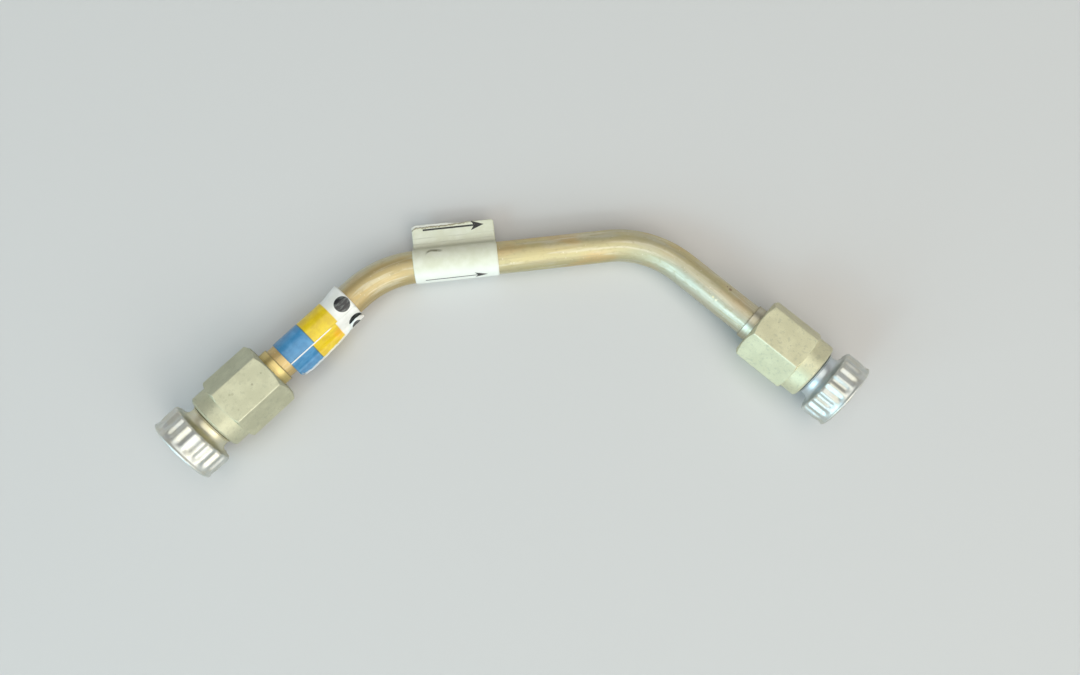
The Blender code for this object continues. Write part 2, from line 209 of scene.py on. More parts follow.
def rounded(outline, radius, steps=3):
    """The outline with its corners rounded off, apart from its two ends."""
    points = [Vector(point) for point in outline]
    result = [points[0]]
    for before, corner, after in zip(points, points[1:], points[2:]):
        cut = min(radius, (before - corner).length / 2, (after - corner).length / 2)
        start = corner + (before - corner).normalized() * cut
        end = corner + (after - corner).normalized() * cut
        for step in range(steps + 1):
            t = step / steps
            result.append(start * (1 - t) ** 2 + corner * 2 * t * (1 - t) + end * t ** 2)
    result.append(points[-1])
    return result


def divided(outline, longest):
    """The outline with points added, so that no step is longer than `longest(point)`."""
    result = [outline[0]]
    for start, end in zip(outline, outline[1:]):
        count = max(1, math.ceil((end - start).length / longest((start + end) / 2)))
        result += [start.lerp(end, (step + 1) / count) for step in range(count)]
    return result


def turned(outline, steps, change=None):
    """Points of a half section (radius, height) turned about Z; `change` alters the radius."""
    radius, height = np.array([tuple(point) for point in outline]).T
    angle = np.arange(steps) * 2 * math.pi / steps
    r, z, a = np.broadcast_arrays(radius[:, None], height[:, None], angle[None, :])
    if change:
        r = change(r, z, a)
    return np.stack([r * np.cos(a), r * np.sin(a), z], -1)


def smooth_min(a, b, width):
    """The smaller of two values, with the corner between them rounded."""
    near = np.maximum(width - np.abs(a - b), 0) / width
    return np.minimum(a, b) - near * near * width / 4


def smooth_step(low, high, value):
    """0 at low and beyond it, 1 at high and beyond, smooth between them."""
    t = np.clip((value - low) / (high - low), 0, 1)
    return t * t * (3 - 2 * t)


def thread_wave(z, angle):
    """0 at the root and 1 at the crest of a right-hand thread with flat crests and roots."""
    turn = (z / PITCH - angle / (2 * math.pi)) % 1.0
    return np.clip((0.5 - np.abs(turn - 0.5)) * THREAD_SLOPE - THREAD_FLAT, 0, 1)


def centreline():
    """Stations along the tube: points, directions and distances in millimetres."""
    lines = ((LEFT_APEX, -LEFT_OUT, ALONG), (RIGHT_APEX, ALONG, RIGHT_OUT))
    points = [LEFT_END / MM]
    ways = [-LEFT_OUT]
    for apex, way_in, way_out in lines:
        angle = way_in.angle(way_out)
        reach = BEND_RADIUS * math.tan(angle / 2)
        start = apex / MM - way_in * reach
        side = (way_out - way_in * way_in.dot(way_out)).normalized()
        centre = start + side * BEND_RADIUS
        last = points[-1]
        count = math.ceil((start - last).length / TUBE_STEP)
        points += [last.lerp(start, (step + 1) / count) for step in range(count)]
        ways += [way_in] * count
        count = math.ceil(angle / BEND_STEP)
        for step in range(1, count + 1):
            turn = angle * step / count
            points.append(centre + (way_in * math.sin(turn) - side * math.cos(turn)) * BEND_RADIUS)
            ways.append(way_in * math.cos(turn) + side * math.sin(turn))
    last, end = points[-1], RIGHT_END / MM
    count = math.ceil((end - last).length / TUBE_STEP)
    points += [last.lerp(end, (step + 1) / count) for step in range(count)]
    ways += [RIGHT_OUT] * count
    steps = [0.0] + [(b - a).length for a, b in zip(points, points[1:])]
    return points, ways, np.cumsum(steps)


def make_tube():
    points, ways, run = centreline()
    angle = np.arange(TUBE_SIDES) * 2 * math.pi / TUBE_SIDES
    rings = []
    flats = []
    stations = [(i, TUBE_RADIUS) for i in range(len(points))]
    stations += [(i, TUBE_RADIUS - TUBE_WALL) for i in reversed(range(len(points)))]
    stations.append(stations[0])
    across = np.array(UP)
    for i, radius in stations:
        side = np.array(ways[i].cross(UP))
        ring = np.array(points[i]) + radius * (
            np.cos(angle)[:, None] * across + np.sin(angle)[:, None] * side)
        rings.append(ring)
        flat = [np.full(TUBE_SIDES, run[i]), radius * np.cos(angle), radius * np.sin(angle)]
        flats.append(np.stack(flat, -1))
    scale = Matrix.Scale(MM, 4)
    return grid_piece("drawn_tube", np.array(rings), True, scale, flat=np.array(flats))


def make_sleeve(side):
    bore = TUBE_RADIUS + SLEEVE_CLEARANCE
    outline = [
        (bore, SLEEVE_NOSE),
        (SLEEVE_NOSE_RADIUS, SLEEVE_NOSE),
        (SLEEVE_BODY_RADIUS, SLEEVE_BODY_TOP),
        (SLEEVE_BODY_RADIUS, SHOULDER_TOP),
        (SLEEVE_TAIL_RADIUS, SLEEVE_TAIL_TOP),
        (SLEEVE_TAIL_RADIUS, SLEEVE_END),
        (bore, SLEEVE_END),
        (bore, SLEEVE_NOSE),
    ]
    outline = divided(rounded(outline, SLEEVE_EDGE), lambda point: SLEEVE_STEP)
    points = turned(outline, SLEEVE_SIDES)
    return grid_piece("preset_sleeve_" + side, points, True, place(*LEG_PLACE[side]), flat=points)


def hexagon_radius(angle):
    """Distance from the axis to a hexagon with softened corners."""
    off = (angle + math.pi / 6) % (math.pi / 3) - math.pi / 6
    near = HEX_INRADIUS / np.cos(off)
    far = HEX_INRADIUS / np.cos(math.pi / 3 - np.abs(off))
    return smooth_min(near, far, HEX_CORNER_WIDTH)


def nut_edge_wear_and_highlight(points, outline):
    """1 on the hexagon's corners, the edges of its chamfers and the rim of the mouth, where the
    finish is worn and a highlight is painted.
    """
    edge_width, chamfer_width, rim_width = 0.13, 0.09, 0.3
    radius = np.hypot(points[..., 0], points[..., 1])
    angle = np.arctan2(points[..., 1], points[..., 0])
    off = np.abs((angle + math.pi / 6) % (math.pi / 3) - math.pi / 6)
    cone = np.array([tuple(point) for point in outline])[:, :1]
    hexagon = radius > COLLAR_RADIUS + 0.05
    edge = np.exp(-(((math.pi / 6 - off) * radius / edge_width) ** 2)) * hexagon
    chamfer = np.exp(-(((cone - hexagon_radius(angle)) / chamfer_width) ** 2)) * hexagon
    rim = np.exp(-((points[..., 2] - NUT_MOUTH) / rim_width) ** 2) * (radius > NUT_ROOT + 0.2)
    return np.clip(edge + 0.8 * chamfer + rim, 0, 1)


def make_nut(side):
    wide = HEX_INRADIUS / math.cos(math.pi / 6) + HEX_MARGIN
    seat_foot = SHOULDER_TOP - (SLEEVE_BODY_RADIUS - REAR_BORE) - SEAT_CLEARANCE
    outer = [
        (REAR_BORE, NUT_BACK),
        (HEX_BACK_FACE, NUT_BACK),
        (wide, NUT_BACK + (wide - HEX_BACK_FACE) * CHAMFER_SLOPE),
        (wide, HEX_FRONT - (wide - HEX_FRONT_FACE) * CHAMFER_SLOPE),
        (HEX_FRONT_FACE, HEX_FRONT),
        (COLLAR_RADIUS, HEX_FRONT),
        (COLLAR_RADIUS, NUT_MOUTH - MOUTH_CHAMFER),
        (COLLAR_RADIUS - MOUTH_CHAMFER, NUT_MOUTH),
        (NUT_ROOT + LEAD_IN_WIDTH, NUT_MOUTH),
        (NUT_ROOT, NUT_MOUTH - LEAD_IN_DEPTH),
        (NUT_ROOT, seat_foot + NUT_ROOT - REAR_BORE),
        (REAR_BORE, seat_foot),
        (REAR_BORE, NUT_BACK),
    ]

    def step(point):
        radius, height = point
        if radius < NUT_ROOT + 0.1 and height > seat_foot + 1:
            return THREAD_STEP
        near_chamfer = height < NUT_BACK + 1.8 or HEX_FRONT - 1.4 < height < HEX_FRONT + 0.1
        return CHAMFER_STEP if radius > HEX_BACK_FACE - 0.2 and near_chamfer else NUT_STEP

    def change(radius, height, angle):
        hexagon = (height < HEX_FRONT + 0.001) & (radius > COLLAR_RADIUS + 0.001)
        cut = smooth_min(radius, hexagon_radius(angle), HEX_CHAMFER_WIDTH)
        radius = np.where(hexagon, cut, radius)
        thread = np.abs(radius - NUT_ROOT) < 0.001
        fade = smooth_step(seat_foot + 2.2, seat_foot + 3.4, height)
        fade = fade * (1 - smooth_step(NUT_MOUTH - 1.0, NUT_MOUTH - LEAD_IN_DEPTH, height))
        depth = (NUT_ROOT - NUT_CREST) * thread_wave(height, angle) * fade
        return np.where(thread, radius - depth, radius)

    outline = divided(rounded(outer, NUT_EDGE), step)
    points = turned(outline, NUT_SIDES, change)
    edge_wear_and_highlight = nut_edge_wear_and_highlight(points, outline)
    matrix = place(*LEG_PLACE[side], NUT_TURN[side])
    return grid_piece("swivel_nut_" + side, points, True, matrix, flat=points, edge_wear_and_highlight=edge_wear_and_highlight)


def make_plug(side):
    foot = HEAD_BASE - NECK_FLARE
    groove = [HEAD_TOP - depth for depth in GROOVE_PLACES]
    flare = [(NECK_RADIUS + NECK_FLARE * (1 - math.cos(t)), foot + NECK_FLARE * math.sin(t))
             for t in np.linspace(math.pi / 2, 0, 7)]
    outline = [
        (0.0, PLUG_END + PLUG_END_WALL),
        (PLUG_BORE, PLUG_END + PLUG_END_WALL),
        (PLUG_BORE, HEAD_FLOOR),
        (RECESS_RADIUS, HEAD_FLOOR),
        (RECESS_RADIUS, HEAD_TOP - RECESS_CHAMFER),
        (RECESS_RADIUS + RECESS_CHAMFER, HEAD_TOP),
        (HEAD_RADIUS - RIM_CHAMFER, HEAD_TOP),
        (HEAD_RADIUS, HEAD_TOP - RIM_CHAMFER),
        (HEAD_RADIUS, groove[0]),
        (HEAD_RADIUS - GROOVE_CUT, groove[1]),
        (HEAD_RADIUS - GROOVE_CUT, groove[2]),
        (HEAD_RADIUS - 0.02, groove[3]),
        (HEAD_RADIUS, HEAD_BASE + HEAD_FOOT_CUT),
        (HEAD_RADIUS - HEAD_FOOT_EDGE, HEAD_BASE + HEAD_FOOT_EDGE),
        (HEAD_RADIUS - HEAD_FOOT_CUT, HEAD_BASE),
        *flare,
        (NECK_RADIUS, RING_HEIGHT + RING_HALF_WIDTH),
        (NECK_RADIUS + RING_RISE, RING_HEIGHT + RING_HALF_TOP),
        (NECK_RADIUS + RING_RISE, RING_HEIGHT - RING_HALF_TOP),
        (NECK_RADIUS, RING_HEIGHT - RING_HALF_WIDTH),
        (PLUG_ROOT, NUT_MOUTH - 0.1),
        (PLUG_ROOT, PLUG_END + PLUG_END_CHAMFER),
        (PLUG_ROOT - PLUG_END_CHAMFER, PLUG_END),
        (0.0, PLUG_END),
    ]

    def step(point):
        radius, height = point
        if abs(radius - PLUG_ROOT) < 0.02 and height < NUT_MOUTH:
            return THREAD_STEP
        return HEAD_STEP if radius > RECESS_RADIUS else PLUG_STEP

    def change(radius, height, angle):
        skirt = smooth_step(HEAD_RADIUS - 1.7, HEAD_RADIUS - 0.6, radius)
        fade = 1 - smooth_step(HEAD_BASE + 4.6, HEAD_TOP - 1.0, height)
        wave = 0.5 - 0.5 * np.cos(FLUTES * angle)
        radius = radius - (FLUTE_DEPTH + 0.1) * wave * fade * skirt
        thread = np.abs(radius - PLUG_ROOT) < 0.001
        fade = smooth_step(PLUG_END + PLUG_END_CHAMFER, PLUG_END + 1.0, height)
        fade = fade * (1 - smooth_step(NUT_MOUTH - 0.6, NUT_MOUTH - 0.15, height))
        rise = (PLUG_CREST - PLUG_ROOT) * thread_wave(height, angle) * fade
        return np.where(thread, radius + rise, radius)

    outline = divided(rounded(outline, PLUG_EDGE), step)
    points = turned(outline, PLUG_SIDES, change)
    matrix = place(*LEG_PLACE[side], NUT_TURN[side])
    return grid_piece("fluted_plug_" + side, points, True, matrix, flat=points)


# Films: a section is drawn in (e, n), e out along the flag and n towards its front

def circle_part(radius, start, end, count):
    return [(radius * math.cos(t), radius * math.sin(t)) for t in np.linspace(start, end, count)]


def blend_part(start, start_way, end, end_way, count):
    """Points of a smooth curve between two points with given directions, without its ends."""
    reach = math.dist(start, end)
    result = []
    for t in np.linspace(0, 1, count + 2)[1:-1]:
        a, b = 2 * t ** 3 - 3 * t ** 2 + 1, -2 * t ** 3 + 3 * t ** 2
        c, d = t ** 3 - 2 * t ** 2 + t, t ** 3 - t ** 2
        point = [a * start[k] + b * end[k] + reach * (c * start_way[k] + d * end_way[k])
                 for k in (0, 1)]
        result.append(tuple(point))
    return result


def crease(x, y, seed, scale):
    """Smooth uneven height between -1 and 1, the same on each run."""
    return noise.noise(Vector((x * scale, y * scale, seed)))


def sheet_piece(name, sections, angle, front, matrix, thickness, flats):
    """Sheet with one section (e, n) per station along Z, given a thickness."""
    section = np.array(sections)
    e, n, z = section[..., 0], section[..., 1] * front, section[..., 2]
    x = e * math.cos(angle) - n * math.sin(angle)
    y = e * math.sin(angle) + n * math.cos(angle)
    points = np.stack([x, y, z], -1)
    item = grid_piece(name, points, False, matrix, flat=np.array(flats))
    solid = item.modifiers.new("Thickness", "SOLIDIFY")
    solid.thickness = thickness * MM
    solid.offset = 0.0
    return item


# Sections along the flag. Points of a section: each flap, its join to the wrap, the wrap, and
# how many of the first carry their distance from the flag's front edge
FLAG_STATIONS = 72
FLAP_POINTS, JOIN_POINTS, FLAG_WRAP_POINTS = 26, 8, 90
FLAG_FRONT_POINTS = 40
# Where the paper leaves the tube, where its two flaps meet, and half the gap between them
FLAG_LEAVE = math.radians(33.0)
FLAG_PINCH = 5.9
FLAG_HALF_GAP = 0.09


def flag_section(z):
    """The paper round the tube at one station: front of the flag, wrap, back of the flag."""
    ragged = 0.2 * crease(z, 0.0, 3.1, 0.9) + 0.2 * crease(z, 0.0, 7.7, 2.6)
    corner = 0.75 * smooth_step(-10.9, -12.1, z) + 0.4 * smooth_step(11.4, 12.1, z)
    front_reach = FLAG_REACH + ragged - 0.32 * smooth_step(5.0, -4.0, z) - corner
    back_reach = FLAG_REACH - 0.15 + 0.62 * smooth_step(5.0, -4.0, z) - corner
    back_reach += 0.12 * crease(z, 0.0, 5.3, 1.4)
    wrap = circle_part(FILM_RADIUS, FLAG_LEAVE, 2 * math.pi - FLAG_LEAVE, FLAG_WRAP_POINTS)
    front = [(e, FLAG_HALF_GAP) for e in np.linspace(front_reach, FLAG_PINCH, FLAP_POINTS)]
    back = [(e, -FLAG_HALF_GAP) for e in np.linspace(FLAG_PINCH, back_reach, FLAP_POINTS)]
    onto = (-math.sin(FLAG_LEAVE), math.cos(FLAG_LEAVE))
    off = (math.sin(FLAG_LEAVE), math.cos(FLAG_LEAVE))
    path = front + blend_part(front[-1], (-1.0, 0.0), wrap[0], onto, JOIN_POINTS)
    path += wrap + blend_part(wrap[-1], off, back[0], (1.0, 0.0), JOIN_POINTS)
    return path + back


def flag_run(path):
    """Distance along the section, 0 where the paper faces straight up."""
    top = FILM_RADIUS * math.cos(FLAG_ANGLE)
    start = next(i for i, (e, n) in enumerate(path) if n > 1 and e < top)
    run = np.concatenate([[0.0], np.cumsum([math.dist(a, b) for a, b in zip(path, path[1:])])])
    return run - run[start]


def flag_line(reach):
    """Run of the line that lies at this reach on the flag's front."""
    path = flag_section(0.0)
    return float(flag_run(path)[0]) + path[0][0] - reach


def make_flag():
    sections = []
    flats = []
    for z in np.linspace(-FLAG_HALF_WIDTH, FLAG_HALF_WIDTH, FLAG_STATIONS):
        path = flag_section(z)
        run = flag_run(path)
        share = z / FLAG_HALF_WIDTH
        section = []
        for (e, n), q in zip(path, run):
            shift = 0.22 * share * share * (-1 if z < 0 else 0.4) * (1 if abs(q) < 8 else 0.2)
            shift += 0.05 * crease(q, z, 1.7, 0.8) * abs(share)
            lift = 0.0
            if e > 5.2:
                lift = 0.10 * crease(z, e, 9.2, 0.35) + 0.03 * crease(z, e, 4.4, 1.2)
                lift += 0.16 * smooth_step(10.0, 12.2, e) * crease(z, 0.0, 2.2, 0.25)
            elif abs(n) > 1:
                lift = 0.025 * crease(z, q, 6.1, 0.8) * (1 if n > 0 else -1)
            section.append((e, n + lift, z + shift))
        sections.append(section)
        edges = [path[0][0] - e for e, n in path[:FLAG_FRONT_POINTS]]
        edges += [AWAY_FROM_EDGE] * (len(path) - FLAG_FRONT_POINTS)
        flats.append([(z, q, edge) for q, edge in zip(run, edges)])
    return sheet_piece(
        "paper_flow_flag", sections, FLAG_ANGLE, 1.0, FLAG_PLACE, FLAG_THICKNESS, flats)


# Band: where its wrap and its overlapping strip start, as angles from up; how far the strip
# lies over the wrap, and its print along the tube
WRAP_START = math.radians(62.0)
STRIP_START = math.radians(46.0)
STRIP_LIFT = 0.12
STRIP_SHIFT = 0.8
# Where both leave the tube, where they meet, and half the gap between them
BAND_LEAVE = math.radians(24.0)
BAND_PINCH = 5.9
BAND_HALF_GAP = 0.07
# Sections along the band, and points of a section: round the tube, join, free edge
BAND_STATIONS = 60
WRAP_POINTS = (100, 6, 10)
STRIP_POINTS = (24, 6, 14)
# Free edge of the band: stations along the tube, and how far out from its axis it stands
BAND_EDGE = ((-12.0, -11.4, -8.4, -3.3, 1.8, 5.0, 7.0, 12.0),
             (6.7, 7.35, 7.75, 7.6, 7.35, 6.9, 6.6, 6.3))

# Dog-eared corner of the band: its free edge, as stations and angles from up, the length and
# width of its curl, and how far its print is moved along to have a disc of its own
EAR_START = 7.3
EAR_EDGE = ((EAR_START, 8.0, 9.5, 11.0, 12.0), (93.0, 85.0, 77.0, 80.0, 90.0))
EAR_SPAN = 5.4
EAR_WIDTH = 3.0
EAR_STATIONS, EAR_POINTS = 24, 14
EAR_PRINT = 40.0


def band_reach(z):
    """How far the band's free edge stands out, measured from the tube's axis."""
    return float(np.interp(z, *BAND_EDGE)) + 0.14 * crease(z, 0.0, 8.8, 1.3)


def to_flag_axes(angle):
    """Angle from up towards the band's front side, as an angle from its flag's direction."""
    return BAND_ANGLE - angle


def band_sheet(name, parts):
    """One sheet of the band, from its sections and their flat coordinates."""
    sections, flats = zip(*parts)
    return sheet_piece(name, sections, BAND_ANGLE, -1.0, BAND_PLACE, BAND_THICKNESS, flats)


def band_wrap(z):
    """Once round the tube and out, as the back of the free edge."""
    way = (math.sin(BAND_LEAVE), math.cos(BAND_LEAVE))
    pinch = (BAND_PINCH, -BAND_HALF_GAP)
    around, join, edge = WRAP_POINTS
    path = circle_part(FILM_RADIUS, to_flag_axes(WRAP_START), 2 * math.pi - BAND_LEAVE, around)
    path += blend_part(path[-1], way, pinch, (1.0, 0.0), join)
    path += [(e, -BAND_HALF_GAP) for e in np.linspace(BAND_PINCH, band_reach(z) - 0.25, edge)]
    section, flat = [], []
    run = FILM_RADIUS * WRAP_START
    previous = path[0]
    far = smooth_step(5.5, 12.0, z)
    for e, n in path:
        run -= math.dist(previous, (e, n))
        previous = (e, n)
        turn = math.degrees(BAND_ANGLE - math.atan2(n, e))
        lift = 1.0 + 0.16 * far * math.exp(-((turn + 62.0) / 26.0) ** 2)
        wave = 0.03 * crease(z, run, 3.3, 0.6)
        scale = lift + wave / FILM_RADIUS
        section.append((e * scale, n * scale, z))
        flat.append((z, run, AWAY_FROM_EDGE))
    return section, flat


def band_strip(z):
    """Overlapping strip over the wrap's start and out, as the front of the free edge."""
    way = (math.sin(BAND_LEAVE), -math.cos(BAND_LEAVE))
    pinch = (BAND_PINCH, BAND_HALF_GAP)
    radius = FILM_RADIUS + STRIP_LIFT
    around, join, edge = STRIP_POINTS
    path = circle_part(radius, to_flag_axes(STRIP_START), BAND_LEAVE, around)
    path += blend_part(path[-1], way, pinch, (1.0, 0.0), join)
    path += [(e, BAND_HALF_GAP) for e in np.linspace(BAND_PINCH, band_reach(z), edge)]
    section, flat = [], []
    run = radius * STRIP_START
    previous = path[0]
    total = sum(math.dist(a, b) for a, b in zip(path, path[1:]))
    gone = 0.0
    for e, n in path:
        gone += math.dist(previous, (e, n))
        previous = (e, n)
        lift = 0.0
        if e > 4.9:
            lift = 0.20 * crease(z, e, 5.1, 0.35) * smooth_step(4.9, 7.0, e)
        inset = 0.5 * smooth_step(1.2, 0.0, total - gone) * (1 if z < -11.5 else 0)
        section.append((e, n + lift, z + inset))
        flat.append((z + STRIP_SHIFT, run + gone, total - gone))
    return section, flat


def band_ear(z):
    """Corner of the strip, turned up and curled back over the band."""
    free = to_flag_axes(math.radians(np.interp(z, *EAR_EDGE)))
    lifted = math.sin(math.pi * (z - EAR_START) / EAR_SPAN) ** 0.6
    radius = FILM_RADIUS + 0.3 + 0.55 * lifted
    start = Vector((band_reach(z) + 0.02, 0.1))
    middle = Vector((start.x + 0.45, 1.3))
    end = Vector((radius * math.cos(free), radius * math.sin(free)))
    section, flat = [], []
    for t in np.linspace(0, 1, EAR_POINTS):
        e, n = start * (1 - t) ** 2 + middle * 2 * t * (1 - t) + end * t ** 2
        section.append((e, n, z))
        flat.append((z + EAR_PRINT, EAR_WIDTH * t, EAR_WIDTH * (1 - t)))
    return section, flat


def make_band():
    whole = np.linspace(-BAND_HALF_WIDTH, BAND_HALF_WIDTH, BAND_STATIONS)
    corner = np.linspace(EAR_START, BAND_HALF_WIDTH, EAR_STATIONS)
    wrap = band_sheet("laminated_band", [band_wrap(z) for z in whole])
    strip = band_sheet("laminated_band_overlap", [band_strip(z) for z in whole])
    ear = band_sheet("laminated_band_dog_ear", [band_ear(z) for z in corner])
    return wrap, strip, ear


# Materials

# Two tones of each side's sleeve and nut
SLEEVE_COLOURS = {
    "left": ((0.60, 0.49, 0.21), (0.68, 0.54, 0.24)),
    "right": ((0.48, 0.45, 0.34), (0.54, 0.52, 0.43)),
}
NUT_COLOURS = {
    "left": ((0.49, 0.49, 0.345), (0.565, 0.565, 0.405)),
    "right": ((0.60, 0.575, 0.385), (0.68, 0.655, 0.445)),
}
# Stretches of the tube, in millimetres from its left end
GOLDEN_STRETCH = (8.0, 20.0)
LEFT_BEND = (38.0, 66.0)
PAINTED_SHEEN_FROM = (118.0, 150.0)
# Specks on the tube: millimetres from its right end, degrees from up, radius and colour
TUBE_SPECKS = (
    (25.7, -27.0, 0.70, (0.33, 0.24, 0.14)),
    (26.9, -30.0, 0.35, (0.36, 0.26, 0.15)),
    (28.1, 36.0, 0.50, (0.72, 0.63, 0.40)),
    (26.9, 38.0, 0.50, (0.74, 0.66, 0.48)),
    (118.0, -12.0, 0.35, (0.88, 0.86, 0.78)),
)
# Pits on the flat that faces up: millimetres across it, along the nut, radius and depth
NUT_PITS = {
    "left": ((0.0, -7.7, 0.42, 0.8), (0.65, -11.4, 0.32, 0.6), (1.5, -2.3, 0.5, 0.45),
             (1.9, -1.7, 0.45, 0.4), (-2.6, -0.6, 0.35, 0.4)),
    "right": ((1.2, -3.0, 0.3, 0.4), (-2.0, -9.5, 0.35, 0.35), (-0.6, 0.4, 0.3, 0.4)),
}
# Painted reflection on each plug's neck: the nut's gold on the left one, cool blue light on the
# right one
NECK_REFLECTION_COLOURS = {"left": (0.71, 0.67, 0.46), "right": (0.60, 0.66, 0.70)}
# Borders of the band's fields along the tube, and its discs: centre along and round, radius
BLUE_TO_YELLOW = (-3.5, -3.3)
YELLOW_TO_WHITE = (5.1, 5.5)
BAND_DISCS = (((9.5, 1.2), 2.3), ((10.5, 8.4), 2.3), ((EAR_PRINT + 8.9, 0.9), 1.5))
# Painted shade in the creases of the flag along its fold: place round the tube in millimetres, and
# depth of colour
FLAG_CREASE_SHADES = ((-9.9, 0.45), (-8.3, 0.6), (-7.2, 0.4), (-5.3, 0.45))
# Flow arrows: start and tip along the tube, half widths of shaft and head, length of the head
UPPER_ARROW = (-8.8, 9.1, 0.27, 1.5, 3.9)
LOWER_ARROW = (-9.2, 8.7, 0.18, 1.2, 3.8)
# How far out on the flag the upper one is, and how far round the tube the lower one
UPPER_ARROW_REACH = 10.65
LOWER_ARROW_RUN = 6.75


class Nodes:
    """Writes a node tree. A value is a socket, a number, a vector or a colour."""

    def __init__(self, tree):
        self.tree = tree

    def node(self, kind, operation=None):
        node = self.tree.nodes.new(kind)
        if operation:
            node.operation = operation
        return node

    def feed(self, socket, value):
        if isinstance(value, bpy.types.NodeSocket):
            self.tree.links.new(value, socket)
        elif socket.type == "RGBA":
            socket.default_value = (*value, 1.0)
        else:
            socket.default_value = value

    def parts(self, vector):
        node = self.node("ShaderNodeSeparateXYZ")
        self.feed(node.inputs[0], vector)
        return node.outputs

    def math(self, operation, *values):
        node = self.node("ShaderNodeMath", operation)
        for socket, value in zip(node.inputs, values):
            self.feed(socket, value)
        return node.outputs[0]

    def ranged(self, kind, *values):
        """A value, brought from one range of numbers to another."""
        node = self.node("ShaderNodeMapRange")
        node.interpolation_type = kind
        for socket, value in zip(node.inputs, values):
            self.feed(socket, value)
        return node.outputs[0]

    def step(self, low, high, value):
        """0 below low, 1 above high, smooth between them."""
        return self.ranged("SMOOTHSTEP", value, low, high, 0.0, 1.0)

    def span(self, low, high, value, soft=0.05):
        """1 between low and high, 0 outside."""
        inside = self.step(low - soft, low + soft, value)
        outside = self.step(high - soft, high + soft, value)
        return self.math("SUBTRACT", inside, outside)

    def shown_rays(self):
        """1 for rays from the camera, from gloss and through glass, 0 for diffuse light."""
        rays = self.node("ShaderNodeLightPath").outputs
        both = self.math("MAXIMUM", rays["Is Camera Ray"], rays["Is Glossy Ray"])
        return self.math("MAXIMUM", both, rays["Is Transmission Ray"])


class Finish(Nodes):
    """Writes the node tree of one Principled material."""

    def __init__(self, name, **constants):
        self.material = bpy.data.materials.new(name)
        self.material.use_nodes = True
        super().__init__(self.material.node_tree)
        self.shader = self.tree.nodes["Principled BSDF"]
        for socket, value in constants.items():
            self.shader.inputs[socket.replace("_", " ")].default_value = value

    def surface(self, socket, value):
        self.feed(self.shader.inputs[socket], value)

    def attribute(self, name, output):
        node = self.node("ShaderNodeAttribute")
        node.attribute_name = name
        return node.outputs[output]

    def stretched(self, vector, factors):
        node = self.node("ShaderNodeVectorMath", "MULTIPLY")
        self.feed(node.inputs[0], vector)
        self.feed(node.inputs[1], factors)
        return node.outputs[0]

    def noise(self, vector, scale, detail=2.0, factors=(1.0, 1.0, 1.0)):
        node = self.node("ShaderNodeTexNoise")
        self.feed(node.inputs["Vector"], self.stretched(vector, factors))
        node.inputs["Scale"].default_value = scale
        node.inputs["Detail"].default_value = detail
        return node.outputs[0]

    def patches(self, low, high, vector, scale, detail, factors=(1.0, 1.0, 1.0)):
        """Patches of noise: 0 where it is below low, 1 where it is above high."""
        return self.step(low, high, self.noise(vector, scale, detail, factors))

    def specks(self, vector, scale, size):
        """Round specks: 1 at each speck's middle, 0 away from it."""
        node = self.node("ShaderNodeTexVoronoi")
        self.feed(node.inputs["Vector"], vector)
        node.inputs["Scale"].default_value = scale
        return self.math("SUBTRACT", 1.0, self.step(size * 0.5, size, node.outputs["Distance"]))

    def ball(self, vector, centre, radius):
        """1 at a point of the surface, 0 further from it than the radius."""
        node = self.node("ShaderNodeVectorMath", "DISTANCE")
        self.feed(node.inputs[0], vector)
        self.feed(node.inputs[1], centre)
        return self.step(radius, radius * 0.4, node.outputs["Value"])

    def mixed(self, share, first, second):
        node = self.node("ShaderNodeMix")
        node.data_type = "RGBA"
        self.feed(node.inputs[0], share)
        self.feed(node.inputs[6], first)
        self.feed(node.inputs[7], second)
        return node.outputs[2]

    def tinted(self, colour, share, amount, tone):
        """The colour, mixed with this amount of the tone where share is 1."""
        return self.mixed(self.math("MULTIPLY", share, amount), colour, tone)

    def bump(self, height, depth):
        """Bump whose full height is `depth` millimetres."""
        node = self.node("ShaderNodeBump")
        node.inputs["Distance"].default_value = depth * MM
        self.feed(node.inputs["Height"], height)
        self.surface("Normal", node.outputs[0])


